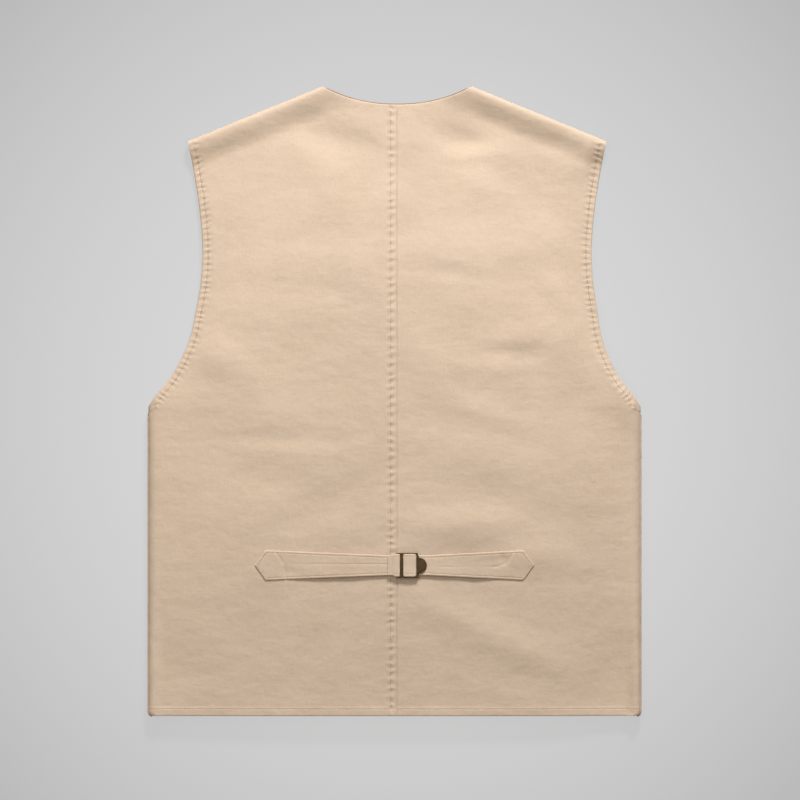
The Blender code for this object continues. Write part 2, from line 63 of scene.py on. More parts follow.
# %% Sizes of the vest
HALF_CHEST, BODY_LENGTH = 0.275, 0.703
HEM_Y, NECK_Y = -BODY_LENGTH / 2, BODY_LENGTH / 2
HALF_NECK, NECK_DROP, NECK_POWER = 0.084, 0.0205, 2.2
TIP_Y = NECK_Y - 0.061
V_Y = NECK_Y - 0.215
ARMHOLE_DEPTH, ARMHOLE_INSET, FRONT_CUT = 0.297, 0.0575, 0.0205
SEAM_X = 0.0028
CLOTH, BAND_CLOTH = 0.0012, 0.0012
ARM_BAND, NECK_BAND, PLACKET_HALF = 0.007, 0.008, 0.015
HEM_WIDTH, LAP_WIDTH, LAP_RISE = 0.009, 0.008, 0.0006
SIDE_ROLL, SHOULDER_ROLL, ARM_ROLL = 0.009, 0.007, 0.0018
ARM_LEVEL, CROWN, HEM_CROWN, CROWN_POWER = 0.0130, 0.0300, 0.0240, 2.4
SHOULDER_RUN, VALLEY_START, VALLEY_DOWN = 0.260, 0.004, 0.036
LEFT_DROP, RIGHT_DROP = 0.0085, 0.0100
GAP, TUCK, CLOSE = 0.0003, 0.002, 0.00015
STRAP_Y, STRAP_REACH, POINT_LENGTH, SEWN_LENGTH = HEM_Y + 0.1685, 0.155, 0.0115, 0.0330
TAB_WIDTH, STRAP_END_WIDTH, STRAP_CLOTH, STRAP_LIFT = 0.0325, 0.0215, 0.0013, 0.0020
ARMHOLE_DOWN = [0.00, 0.10, 0.22, 0.33, 0.42, 0.52, 0.64, 0.75, 0.83, 0.90, 0.95, 1.00]
ARMHOLE_IN = [0.72, 0.815, 0.915, 0.978, 1.00, 0.975, 0.88, 0.765, 0.60, 0.39, 0.175, 0.00]
TIP_REACH = HALF_CHEST - ARMHOLE_IN[0] * ARMHOLE_INSET
SHOULDER_FALL = (NECK_Y - TIP_Y) / (TIP_REACH - HALF_NECK)
SHOULDER_COS = 1 / math.hypot(1, SHOULDER_FALL)
print("the vest is", 2 * HALF_CHEST, "by", BODY_LENGTH, "m")

# %% [markdown]
# ## The folds
#
# A vest that has been packed and laid out again keeps soft folds. Most run across the back, and a
# few slant from the armholes. A simulation would put them anywhere, so each one is a row of this
# table instead: a smooth ridge, or a hollow where its rise is below zero, with its middle, half
# length, half width, turn in degrees and rise.

# %% The folds' table
Fold = namedtuple("Fold", "x y long wide turn rise")
FOLDS = [
    Fold(0.074, 0.290, 0.028, 0.0160, -20, -0.00350),
    Fold(-0.062, 0.290, 0.045, 0.0170, -16, -0.00360),
    Fold(-0.131, 0.280, 0.044, 0.0449, -33, 0.00220),
    Fold(0.090, 0.276, 0.027, 0.0105, 5, 0.00289),
    Fold(0.221, 0.268, 0.072, 0.0219, -4, 0.00394),
    Fold(0.099, 0.257, 0.063, 0.0238, 45, 0.00290),
    Fold(0.120, 0.251, 0.122, 0.0174, -38, -0.00154),
    Fold(-0.003, 0.247, 0.088, 0.0450, 16, -0.00300),
    Fold(0.000, 0.190, 0.300, 0.0700, 0, 0.00300),
    Fold(-0.075, 0.243, 0.050, 0.0217, -59, 0.00223),
    Fold(0.109, 0.204, 0.071, 0.0265, 2, -0.00225),
    Fold(0.027, 0.202, 0.070, 0.0370, 55, -0.00450),
    Fold(-0.086, 0.182, 0.083, 0.0223, 5, -0.00189),
    Fold(0.060, 0.144, 0.034, 0.0096, -8, -0.00171),
    Fold(0.146, 0.143, 0.102, 0.0179, 14, -0.00135),
    Fold(0.225, 0.132, 0.018, 0.0269, 19, 0.00041),
    Fold(-0.106, 0.128, 0.096, 0.0191, -4, -0.00146),
    Fold(0.177, 0.127, 0.040, 0.0127, -52, 0.00149),
    Fold(-0.178, 0.090, 0.082, 0.0280, 72, 0.00449),
    Fold(0.004, 0.085, 0.112, 0.0232, -55, 0.00212),
    Fold(0.130, 0.054, 0.075, 0.0269, 22, 0.00390),
    Fold(0.119, 0.053, 0.027, 0.0116, 1, -0.00314),
    Fold(0.153, 0.053, 0.020, 0.0132, 27, -0.00190),
    Fold(-0.191, 0.044, 0.040, 0.0214, -36, 0.00317),
    Fold(0.244, 0.036, 0.054, 0.0125, -69, 0.00214),
    Fold(0.248, 0.022, 0.028, 0.0045, -54, 0.00449),
    Fold(0.248, 0.011, 0.084, 0.0301, -44, 0.00350),
    Fold(0.207, -0.000, 0.040, 0.0449, -69, -0.00362),
    Fold(0.102, -0.014, 0.045, 0.0134, -19, 0.00191),
    Fold(-0.128, -0.042, 0.062, 0.0111, 0, -0.00165),
    Fold(0.105, -0.066, 0.071, 0.0275, -15, 0.00258),
    Fold(-0.133, -0.087, 0.056, 0.0245, -13, -0.00204),
    Fold(-0.075, -0.113, 0.075, 0.0184, 29, -0.00191),
    Fold(-0.138, -0.135, 0.093, 0.0382, 59, 0.00380),
    Fold(0.077, -0.140, 0.068, 0.0238, 1, 0.00421),
    Fold(0.157, -0.170, 0.054, 0.0196, -6, 0.00253),
    Fold(0.235, -0.244, 0.120, 0.0380, -83, -0.00396),
    Fold(0.115, -0.264, 0.103, 0.0192, -26, 0.00272),
    Fold(-0.262, -0.279, 0.049, 0.0256, -46, -0.00231),
    Fold(0.239, -0.316, 0.040, 0.0421, -28, -0.00438),
    Fold(0.000, -0.360, 0.400, 0.1000, 0, -0.00500),
]
print(len(FOLDS), "folds")

# %% [markdown]
# ## Curves that every piece uses
#
# Cloth has no sharp steps, so heights are mixed with a smooth S and ridges are bell curves. A
# puckered seam needs a wave that never repeats, which three sines of unlike lengths give.

# %% Small curves
def smooth(share):
    share = np.clip(share, 0.0, 1.0)
    return share * share * (3 - 2 * share)


def mix(a, b, share):
    return a + (b - a) * share


def bump(distance, width):
    return np.exp(-((distance / width) ** 2))


def ripple(along, length, start):
    turn = 2 * math.pi * along / length + start
    second = 0.7 * np.sin(1.618 * turn + 2.0 * start)
    third = 0.5 * np.sin(0.43 * turn + 3.3 * start)
    return (np.sin(turn) + second + third) / 2


def quarter(depth, radius, power=2.0):
    """How far a rounded edge has dropped at a depth in from it; a higher power is squarer."""
    inward = np.clip(depth, 0.0, radius) / radius
    return radius * (1 - (1 - (1 - inward) ** power) ** (1 / power))


# %% [markdown]
# ## The edges of the cut cloth
#
# Armholes, neckline and shoulders are lines in plan. A band or a panel starts from such a line
# and runs inward from it, square to the edge, except at the seams, where it follows the seam.

# %% Lines in plan
def armhole_in(down):
    """Share of the armhole's inset at a share of its depth, on one smooth curve."""
    places, values = np.array(ARMHOLE_DOWN), np.array(ARMHOLE_IN)
    slopes = np.gradient(values, places)
    k = np.clip(np.searchsorted(places, down, side="right") - 1, 0, len(places) - 2)
    span = places[k + 1] - places[k]
    s = (down - places[k]) / span
    first = (1 + 2 * s) * (1 - s) ** 2 * values[k] + s * (1 - s) ** 2 * span * slopes[k]
    return first + s * s * (3 - 2 * s) * values[k + 1] - s * s * (1 - s) * span * slopes[k + 1]


def shoulder_y(x):
    out = abs(x - SEAM_X)
    out = np.where(out < HALF_NECK, (out * out / HALF_NECK + HALF_NECK) / 2, out)
    return NECK_Y - (out - HALF_NECK) * SHOULDER_FALL


def armhole_edge(side, cut):
    def edge(down):
        inset = ARMHOLE_INSET * armhole_in(down) - side * SEAM_X * smooth(2 - 2 * down)
        inset = inset + cut * np.sin(math.pi * down) ** 2
        return np.stack([side * (HALF_CHEST - inset), TIP_Y - down * ARMHOLE_DEPTH], -1)
    return edge


def back_neck_edge(side):
    def edge(share):
        drop = NECK_DROP * (1 - np.maximum(share, 0) ** NECK_POWER)
        return np.stack([SEAM_X + side * share * HALF_NECK, NECK_Y - drop], -1)
    return edge


def front_neck_edge(side):
    def edge(share):
        out = mix(PLACKET_HALF + GAP, HALF_NECK, share)
        return np.stack([SEAM_X + side * out, mix(V_Y, NECK_Y, share)], -1)
    return edge


# %% Ways inward from an edge
def unit(vectors):
    return vectors / np.linalg.norm(vectors, axis=-1, keepdims=True)


def inward(edge, shares, side, first_way, last_way, run):
    """The way that 1 m of width takes from each place of an edge."""
    tangent = unit(edge(np.minimum(shares + 0.01, 1)) - edge(np.maximum(shares - 0.01, 0)))
    square = np.stack([side * tangent[:, 1], -side * tangent[:, 0]], -1)
    ending = smooth((shares - 1 + run) / run)[:, None]
    way = mix(np.array(first_way), square, smooth(shares / run)[:, None])
    way = unit(mix(way, np.array(last_way), ending))
    return way * mix(1 / np.sum(way * square, -1, keepdims=True), 1.0, ending)


def roll_depths(radius, steps=8):
    return radius * (1 - np.cos(np.linspace(0, math.pi / 2, steps + 1)))


FINE = np.linspace(0.5, 1.0, 2001)


def armhole_shares(side, cut, steps=112):
    """Places from the shoulder seam down to the side seam, close together where the cloth rolls."""
    reach = abs(armhole_edge(side, cut)(FINE)[:, 0])
    foot = np.interp(HALF_CHEST - roll_depths(SIDE_ROLL), reach, FINE)
    foot[0] = 1.0
    top = roll_depths(SHOULDER_ROLL) / ARMHOLE_DEPTH
    return np.concatenate([top, np.linspace(top[-1], foot[-1], steps + 1)[1:-1], foot[::-1]]), 1 - foot[-1]


def neck_shares(side, edge, steps=34):
    """Places from the middle of a neckline out to the shoulder seam."""
    places = edge(FINE)
    below = (shoulder_y(places[:, 0]) - places[:, 1]) * SHOULDER_COS
    rolled = np.interp(-roll_depths(SHOULDER_ROLL), -below, FINE)
    rolled[0] = 1.0
    shares = np.concatenate([np.linspace(0, rolled[-1], steps + 1)[:-1], rolled[::-1]])
    return shares, 2 * (1 - rolled[-1])


def armhole_line(side, cut, width):
    shares, run = armhole_shares(side, cut)
    edge = armhole_edge(side, cut)
    up_shoulder = (-side * SHOULDER_COS, SHOULDER_FALL * SHOULDER_COS)
    return edge(shares) + inward(edge, shares, side, up_shoulder, (0, -1), run) * width


def neck_line(side, edge, width, steps=34):
    shares, run = neck_shares(side, edge, steps)
    down_shoulder = (side * SHOULDER_COS, -SHOULDER_FALL * SHOULDER_COS)
    return edge(shares) + inward(edge, shares, side, (0, -1), down_shoulder, run) * width


print("armhole line", armhole_line(1, 0.0, 0.0).shape,
      "neck line", neck_line(1, back_neck_edge(1), 0.0).shape)

# %% [markdown]
# ## The lie of the back and the front
#
# The back is a low crown: both layers meet in a rolled fold down each side and over each
# shoulder, and the free armhole edge sinks a little. The front lies flat on the floor below it.
# Both are heights over a place in plan, so bands, stitches and straps can ask where the cloth is.

# %% Heights
def armhole_share(y):
    return np.clip((TIP_Y - y) / ARMHOLE_DEPTH, 0.0, 1.0)


def edge_level(y):
    down = armhole_share(y)
    to_side = (2 * SIDE_ROLL - ARM_LEVEL) * smooth((down - 0.6) / 0.4)
    return ARM_LEVEL + to_side + (2 * SHOULDER_ROLL - ARM_LEVEL) * (1 - smooth(down / 0.25))


def fold_height(x, y):
    total = np.zeros(np.broadcast(x, y).shape)
    for fold in FOLDS:
        turn = math.radians(fold.turn)
        along = (x - fold.x) * math.cos(turn) + (y - fold.y) * math.sin(turn)
        beside = (y - fold.y) * math.cos(turn) - (x - fold.x) * math.sin(turn)
        total = total + fold.rise * bump(along, fold.long) * bump(beside, fold.wide)
    return total


def back_height(x, y):
    reach = HALF_CHEST - ARMHOLE_INSET * armhole_in(armhole_share(y))
    below = np.maximum(shoulder_y(x) - y, 0.0)
    centre = mix(HEM_CROWN, CROWN, smooth(2 * (y - HEM_Y) / BODY_LENGTH))
    level = mix(edge_level(y), centre, 1 - np.minimum(abs(x) / reach, 1.0) ** CROWN_POWER)
    off_neck = smooth((abs(x - SEAM_X) - HALF_NECK / 4) / HALF_NECK)
    into_valley = smooth((below - VALLEY_START) / (VALLEY_DOWN - VALLEY_START))
    drop = np.where(x < SEAM_X, LEFT_DROP, RIGHT_DROP) * into_valley
    level = mix(2 * SHOULDER_ROLL - off_neck * drop, level, smooth(below / SHOULDER_RUN))
    inside = smooth((reach - abs(x)) / (2 * SIDE_ROLL)) * smooth(below / (2 * SHOULDER_ROLL))
    level = level + inside * fold_height(x, y)
    return level - quarter(HALF_CHEST - abs(x), SIDE_ROLL) - quarter(below * SHOULDER_COS, SHOULDER_ROLL, 3.0)


def front_height(x, y):
    below = (shoulder_y(x) - y) * SHOULDER_COS
    return quarter(HALF_CHEST - abs(x), SIDE_ROLL) + quarter(below, SHOULDER_ROLL)


print("the back's middle is", round(float(back_height(0.0, 0.0)) * 1000, 1), "mm up")

# %% [markdown]
# ## A cloth piece
#
# Each piece of cloth is a grid whose corners are moved to their places, and the Solidify modifier
# gives it its thickness. A grid keeps its rows in order, so a fold or a stitched row can be shaped
# by moving rows, which a mesh cut from triangles would not allow.

# %% Fill four edges, and make cloth of rows
def along(points):
    span = points[-1] - points[0]
    return (points - points[0]) @ span / (span @ span)


def fill(bottom, top, left, right):
    """Plan places between four joined edges."""
    height = (along(left) + along(right)) / 2
    across = mix(along(bottom)[None, :], along(top)[None, :], height[:, None])
    places = mix(bottom[None], top[None], height[:, None, None])
    from_left = left - mix(bottom[0], top[0], height[:, None])
    from_right = right - mix(bottom[-1], top[-1], height[:, None])
    return places + mix(from_left[:, None], from_right[:, None], smooth(across)[:, :, None])


def lift(places, heights):
    return np.concatenate([places, heights[..., None]], -1)


def own_object(name, bm, material):
    mesh = bpy.data.meshes.new(name)
    bm.to_mesh(mesh)
    bm.free()
    mesh.shade_smooth()
    mesh.materials.append(material)
    made = bpy.data.objects.new(name, mesh)
    bpy.context.scene.collection.objects.link(made)
    return made


def cloth(name, rows, thickness, material, turned=False, ring=False, offset=-1, seam=None):
    lines, columns = rows.shape[:2]
    bm = bmesh.new()
    bmesh.ops.create_grid(bm, x_segments=columns - 1, y_segments=lines - 1, size=1.0)
    near_seam = bm.verts.layers.float_vector.new("seam")
    for corner in bm.verts:
        line = round((corner.co.y + 1) / 2 * (lines - 1))
        column = round((corner.co.x + 1) / 2 * (columns - 1))
        corner.co = rows[line, column]
        if seam is not None:
            corner[near_seam] = Vector((seam[0][line, column], seam[1][line, column], 1))
    if turned:
        bmesh.ops.reverse_faces(bm, faces=bm.faces)
    if ring:
        bmesh.ops.remove_doubles(bm, verts=bm.verts, dist=1e-6)
    made = own_object(name, bm, material)
    wall = made.modifiers.new("wall", "SOLIDIFY")
    wall.thickness, wall.offset = thickness, offset
    print(name, len(made.data.polygons), "faces on its outer side")
    return made


# %% [markdown]
# ## Shader maths
#
# Materials are easier to read as sums than as node graphs. This class wraps a socket, so that a
# plus sign adds a Math node, and the finish's one node method makes every other node.

# %% Wires and finishes
class Wire:
    """A node's output, which can be used in sums."""
    def __init__(self, finish, socket):
        self.finish, self.socket = finish, socket

    def maths(self, operation, first, second):
        return self.finish.node("ShaderNodeMath", {"operation": operation}, {0: first, 1: second})

    def __add__(self, other):
        return self.maths("ADD", self, other)

    def __sub__(self, other):
        return self.maths("SUBTRACT", self, other)

    def __rsub__(self, other):
        return self.maths("SUBTRACT", other, self)

    def __mul__(self, other):
        return self.maths("MULTIPLY", self, other)

    __radd__, __rmul__ = __add__, __mul__


class Finish:
    """A material that is being built."""
    def __init__(self, name):
        self.material = bpy.data.materials.new(name)
        self.material.use_nodes = True
        self.tree = self.material.node_tree
        self.shader = self.tree.nodes["Principled BSDF"]

    def node(self, kind, settings=None, values=None, output=0):
        made = self.tree.nodes.new(kind)
        for key, value in (settings or {}).items():
            if key == "stops":
                ramp = made.color_ramp.elements
                while len(ramp) < len(value):
                    ramp.new(1.0)
                for stop, (place, shade) in zip(ramp, value):
                    stop.position, stop.color = place, shade
            else:
                setattr(made, key, value)
        self.join(made, values or {})
        return Wire(self, made.outputs[output])

    def join(self, node, values):
        for key, value in values.items():
            if isinstance(value, Wire):
                self.tree.links.new(value.socket, node.inputs[key])
            else:
                node.inputs[key].default_value = value

    def places(self, turn=0.0, stretch=(1, 1, 1)):
        """Object coordinates, turned about Z and stretched."""
        made = self.node("ShaderNodeTexCoord", output="Object")
        return self.node("ShaderNodeMapping", {},
                         {"Vector": made, "Rotation": (0, 0, turn), "Scale": stretch})

    def noise(self, size, detail=2.0, stretch=(1, 1, 1), turn=0.0):
        """Noise from 0 to 1, with blotches about that many metres across."""
        return self.node("ShaderNodeTexNoise", {},
                         {"Vector": self.places(turn, stretch), "Scale": 1 / size, "Detail": detail})

    def parts(self, vector):
        split = self.node("ShaderNodeSeparateXYZ", {}, {0: vector}).socket.node
        return [Wire(self, split.outputs[k]) for k in range(3)]

    def bell(self, distance, width):
        """1 on a line and 0 from twice the width beside it."""
        off = self.node("ShaderNodeMath", {"operation": "MULTIPLY"},
                        {0: distance * (0.6 / width), 1: distance * (0.6 / width)})
        return self.node("ShaderNodeMath", {"operation": "MAXIMUM"}, {0: 1 - off, 1: 0.0})

    def blend(self, share, first, second):
        values = {"Factor": share, 6: first, 7: second}
        return self.node("ShaderNodeMix", {"data_type": "RGBA"}, values, output=2)


# %% [markdown]
# ## Twill
#
# Cotton twill shows fine diagonal ridges, because each weft thread passes over two warp threads
# and then under one. At this scale the ridges are under a millimetre apart, so they are bump and
# not mesh. Garment washing leaves the cloth a little uneven: pale slubs, soft blotches and small
# crumples that catch the light.

# %% The twill's finish
PUCKER = 0.0096


def twill(name, pale, deep, pitch=0.0008):
    finish = Finish(name)
    blotch = finish.noise(0.05, 3.0)
    grain = finish.noise(0.0022, 2.0)
    slub = finish.noise(0.0016, 2.0, (0.12, 1, 1)) + finish.noise(0.0016, 2.0, (1, 0.12, 1))
    shade = 0.45 * blotch + 0.35 * grain + 0.22 * slub
    colour = finish.blend((shade - 0.36) * 2.2, deep, pale)
    sway = finish.noise(0.006, 2.0)
    across = finish.parts(finish.places(math.radians(63)))[0]
    ridge = finish.node("ShaderNodeMath", {"operation": "SINE"},
                        {0: (across * (1 / pitch) + sway * 0.5) * (2 * math.pi)})
    crumple = finish.noise(0.014, 4.0) * 0.0015 + finish.noise(0.035, 3.0, (0.5, 1, 1)) * 0.0036
    seam = finish.node("ShaderNodeAttribute", {"attribute_name": "seam"}, output="Vector")
    length, beside, sewn = finish.parts(seam)
    wave = (length * (1 / PUCKER) + beside * 15 + 1.3 * finish.noise(0.02, 1.0)) * (2 * math.pi)
    pull = finish.bell(beside, 0.0042) * 0.00038 + finish.bell(beside, 0.0013) * 0.00032
    pucker = finish.node("ShaderNodeMath", {"operation": "SINE"}, {0: wave}) * pull * sewn
    height = crumple + ridge * 0.00002 + grain * 0.00010 + slub * 0.00005 + pucker
    relief = finish.node("ShaderNodeBump", {}, {"Strength": 0.55, "Distance": 1.0, "Height": height})
    finish.join(finish.shader, {
        "Base Color": colour,
        "Roughness": 0.86 + 0.1 * grain,
        "Normal": relief,
        "Specular IOR Level": 0.25,
        "Sheen Weight": 0.12,
        "Sheen Roughness": 0.5,
    })
    return finish.material


body_twill = twill("body_twill", (0.690, 0.535, 0.392, 1), (0.600, 0.452, 0.318, 1))
edge_twill = twill("edge_twill", (0.690, 0.535, 0.392, 1), (0.600, 0.452, 0.318, 1))
print("twill made")

# %% [markdown]
# ## The back
#
# The two halves meet in a felled seam: the left half's edge is folded under and stitched down on
# the right half. So the left half gets a raised lap with a puckered stitch row, and the right
# half slips under it. At armholes and neck both slip under their bands.

# %% The back's halves
SIDE_STEPS, SHOULDER_STEPS = 128, 56
HEM_STEPS = np.array([0, 0.0003, 0.0009, 0.002, 0.0035, 0.005, 0.0063, 0.0070, 0.0076, 0.0082,
                      0.0090, 0.0098, 0.0115])
LAP_STEPS = np.array([0, 0.0002, 0.0006, 0.0014, 0.0024, 0.0036, 0.0048, 0.0058, 0.0066, 0.0072,
                      0.0078, 0.0084, 0.0092, 0.0108])


def run_along(line):
    steps = np.linalg.norm(np.diff(line, axis=0), axis=1)
    return np.concatenate([[0.0], np.cumsum(steps)])


def near_edge(line, x, y):
    """Plan distance from each place to a line, and how far along the line its nearest point is."""
    run = run_along(line)
    fine = np.linspace(0, run[-1], 4 * len(line))
    px, py = np.interp(fine, run, line[:, 0]), np.interp(fine, run, line[:, 1])
    nearest, at = np.full(x.shape, 1.0), np.zeros(x.shape)
    for k in range(len(fine)):
        away = np.hypot(x - px[k], y - py[k])
        at = np.where(away < nearest, fine[k], at)
        nearest = np.minimum(nearest, away)
    return nearest, at


def upright(foot, goal, steps):
    """Places up an edge, with the hem's close rows first."""
    hem = np.stack([np.full(len(HEM_STEPS), foot[0]), foot[1] + HEM_STEPS], -1)
    rest = np.linspace(hem[-1], goal, steps + 1)[1:-1]
    return np.concatenate([hem, rest])


BAND_ROW, ARM_PUCKER = 0.0064, 1.45


def edge_relief(width, length):
    """A stitched edge: a groove under the stitches, with puckers that fade out on both sides."""
    row = width - BAND_ROW
    return -0.0004 * bump(row, 0.0009) + 0.00025 * ripple(length + 0.3 * width, 0.0125, 1.9) * bump(row, 0.0042)


def hem_relief(x, y):
    """A turned-up hem: thicker, with a rounded foot and a puckered stitch row."""
    up = y - HEM_Y
    thick = 0.0004 * (1 - smooth((up - HEM_WIDTH) / 0.0008))
    row = up - 0.0080
    pucker = 0.00016 * ripple(x + 0.4 * row, 0.0085, 0.7) * bump(row, 0.0035)
    return thick - 0.00035 * bump(row, 0.0006) + pucker - quarter(up, 0.0009)


def round_corners(places):
    """Pulls the foot of each side edge inward, because a turned hem has no sharp corner."""
    at_side = smooth((abs(places[..., 0]) - 0.245) / 0.030)
    pull = quarter(places[..., 1] - HEM_Y, 0.0045) * at_side
    return np.stack([places[..., 0] - np.sign(places[..., 0]) * pull * 0.8, places[..., 1]], -1)


def back_half(name, side):
    outer = armhole_line(side, 0.0, ARM_BAND + CLOSE)
    neck = neck_line(side, back_neck_edge(side), NECK_BAND + CLOSE)
    middle_x = SEAM_X if side < 0 else SEAM_X - TUCK
    neck[0, 0] = middle_x
    laps = LAP_STEPS[1:]
    right = np.concatenate([upright((side * HALF_CHEST, HEM_Y), outer[-1], SIDE_STEPS), outer[::-1]])
    left_y = HEM_Y + (right[:, 1] - HEM_Y) * (neck[0, 1] - HEM_Y) / (right[-1, 1] - HEM_Y)
    left_y[: len(HEM_STEPS)] = HEM_Y + HEM_STEPS
    rolled = roll_depths(SHOULDER_ROLL)
    left_y[-len(rolled):] = neck[0, 1] - rolled[::-1]
    left = np.stack([np.full(len(left_y), middle_x), left_y], -1)
    rolled = roll_depths(SIDE_ROLL)[::-1]
    way = unit(outer[0] - neck[-1])
    shoulder = np.linspace(neck[-1], outer[0] - way * rolled[0], SHOULDER_STEPS + 1)[1:-1]
    lap_x = middle_x + side * laps
    top_laps = np.stack([lap_x, np.interp(laps, abs(neck[:, 0] - middle_x), neck[:, 1])], -1)
    past = abs(neck[:, 0] - middle_x) > laps[-1] + 0.001
    top = np.concatenate([neck[:1], top_laps, neck[past], shoulder, outer[0] - way * rolled[:, None]])
    body = np.linspace(lap_x[-1], side * (HALF_CHEST - rolled[0]), past.sum() + len(shoulder) + 2)[1:-1]
    hem_x = np.concatenate([[middle_x], lap_x, body, side * (HALF_CHEST - rolled)])
    bottom = np.stack([hem_x, np.full(len(hem_x), HEM_Y)], -1)
    places = fill(bottom, top, left, right)
    feet = len(HEM_STEPS) + SIDE_STEPS - 1
    joint = armhole_line(side, 0.0, ARM_BAND)[::-1]
    tucked = armhole_line(side, 0.0, ARM_BAND - TUCK)[::-1]
    places = np.concatenate([places, places[:, -1:], places[:, -1:]], 1)
    places[feet:, -2], places[feet:, -1] = joint, tucked
    places[:feet, -2, 0] += side * 0.0001
    places[:feet, -1, 0] -= side * 0.0006
    joint = neck_line(side, back_neck_edge(side), NECK_BAND)
    tucked = neck_line(side, back_neck_edge(side), NECK_BAND - TUCK)
    places = np.concatenate([places, places[-1:], places[-1:]], 0)
    over_neck = 1 + len(top_laps) + past.sum()
    for line, spots in ((-2, joint), (-1, tucked)):
        across = abs(places[-3, :over_neck, 0] - middle_x)
        spots_in = abs(spots[:, 0] - middle_x)
        places[line, :over_neck, 1] = np.interp(across, spots_in, spots[:, 1])
    x, y = places[..., 0], places[..., 1]
    z = back_height(x, y) + hem_relief(x, y)
    z[:, -1] -= 0.0014
    z[-1, :] -= 0.0014
    in_lap = SEAM_X - x
    row = in_lap - 0.0073
    fade = smooth((y - HEM_Y) / 0.02)
    pucker = ripple(y + 0.5 * in_lap, 0.0096, 1.3) * bump(in_lap - 0.0062, 0.0040) * fade
    if side < 0:
        z += LAP_RISE * (1 - smooth((in_lap - LAP_WIDTH) / 0.0012)) - 0.0009 * quarter(in_lap, 0.0009) / 0.0009
        z += 0.00025 * pucker - 0.0005 * bump(row, 0.0008)
    else:
        z += 0.00012 * ripple(y, 0.0092, 1.3) * bump(in_lap, 0.006) - 0.0010 * smooth((in_lap + 0.0006) / 0.0010)
    away, at = near_edge(armhole_line(side, 0.0, 0.0), x, y)
    down = armhole_share(y)
    z += smooth(8 * down) * smooth(8 * (1 - down)) * (away < 0.03) * edge_relief(away, at)
    by_arm = away < 0.03
    seam = np.where(by_arm, at * ARM_PUCKER, y), np.where(by_arm, away - BAND_ROW, in_lap - 0.0062)
    return cloth(name, lift(round_corners(places), z), CLOTH, body_twill, turned=side < 0, seam=seam)


back_left = back_half("back_left", -1)
back_right = back_half("back_right", 1)

# %% [markdown]
# ## The bands
#
# Each armhole is edged with cloth folded to the inside and stitched down, so the edge is round
# and a stitch row runs beside it. Back and front are one ring of rows, which closes at the
# shoulder seam.

# %% The armhole bands
BAND_STEPS = np.array([0, 0.00012, 0.0005, 0.0011, 0.0019, 0.0028, 0.0038, 0.0047, 0.0053, 0.0058,
                       0.0063, 0.0067, 0.0070])


def armhole_band(name, side):
    halves, lengths = [], []
    for cut, height, facing in ((0.0, back_height, 1), (FRONT_CUT, front_height, -1)):
        shares, run = armhole_shares(side, cut)
        places = np.stack([armhole_line(side, cut, width) for width in BAND_STEPS], 1)
        length = run_along(places[:, 0])[:, None]
        z = height(places[..., 0], places[..., 1])
        free = (smooth(8 * shares) * smooth(8 * (1 - shares)))[:, None]
        z = z + facing * free * (edge_relief(BAND_STEPS[None, :], length) - quarter(BAND_STEPS, 0.0010)[None, :])
        if facing > 0:
            z = z - free * quarter(BAND_STEPS, ARM_ROLL, 3.0)[None, :]
        else:
            z = z + 0.0006 * free
        halves.append(lift(places, z))
        lengths.append(length * ARM_PUCKER + 0 * z)
    rows = np.concatenate([halves[0], halves[1][::-1], halves[0][:1]])
    lengths = np.concatenate([lengths[0], lengths[1][::-1], lengths[0][:1]])
    seam = lengths, BAND_STEPS[None, :] - BAND_ROW + 0 * lengths
    return cloth(name, rows, BAND_CLOTH, edge_twill, turned=side < 0, ring=True, seam=seam)


band_left = armhole_band("band_left", -1)
band_right = armhole_band("band_right", 1)

# %% The neck band
NECK_STEPS = np.array([0, 0.00012, 0.0005, 0.0012, 0.0022, 0.0034, 0.0046, 0.0056, 0.0064, 0.0072,
                       0.0079, 0.0080])
NECK_DOWN = np.array([0.0008, 0.0005, 0.00025, 0.0001, 0, 0, 0, 0, 0, 0, 0, 0])


def neck_rows():
    rows = []
    for side in (-1, 1):
        halves = []
        for edge, height, facing, steps in ((front_neck_edge(side), front_height, -1, 80),
                                            (back_neck_edge(side), back_height, 1, 84)):
            shares, run = neck_shares(side, edge, steps)
            places = np.stack([neck_line(side, edge, width, steps) for width in NECK_STEPS], 1)
            z = height(places[..., 0], places[..., 1])
            length = run_along(places[:, 0])[:, None]
            pucker = 0.00012 * ripple(length, 0.011, 0.9) * bump(NECK_STEPS - 0.004, 0.004)
            z = z + facing * smooth(12 * (1 - shares))[:, None] * (pucker - NECK_DOWN)
            in_lap = SEAM_X - places[..., 0]
            if facing > 0:
                z = z + LAP_RISE * smooth((in_lap + 0.0004) / 0.0008) * (1 - smooth((in_lap - LAP_WIDTH) / 0.0012))
            halves.append(lift(places, z))
        half = np.concatenate([halves[0], halves[1][::-1]])
        rows.append(half if side < 0 else half[::-1][1:])
    return np.concatenate(rows)


neck_places = neck_rows()
on_back = neck_places[..., 1] > NECK_Y - 2 * NECK_DROP
neck_seam = neck_places[..., 1], np.where(on_back, SEAM_X - neck_places[..., 0] - 0.0062, 0.1)
neck_band = cloth("neck_binding", neck_places, BAND_CLOTH, edge_twill, seam=neck_seam)


def facing_rows():
    """A facing inside the back neckline, which peeks out past its edge. Its dark colour is painted shade for the
    shadow along the neck's edge.
    """
    halves = []
    for side in (-1, 1):
        lines = [neck_line(side, back_neck_edge(side), width)[:-6]
                 for width in (-0.0011, -0.0003, 0.0020, 0.0060)]
        halves.append(np.stack(lines, 1)[::side])
    places = np.concatenate([halves[0][:-1], halves[1]])
    return lift(places, back_height(places[..., 0], places[..., 1]) - np.array([0.0022, 0.0020, 0.0021, 0.0023]))


# The facing is the same cloth coloured dark: painted shade for the shadow along the back neck's edge.
painted_shade_twill = twill("painted_shade_twill", (0.330, 0.205, 0.135, 1), (0.255, 0.150, 0.095, 1))
facing = cloth("neck_facing_painted_shade", facing_rows(), 0.0006, painted_shade_twill)

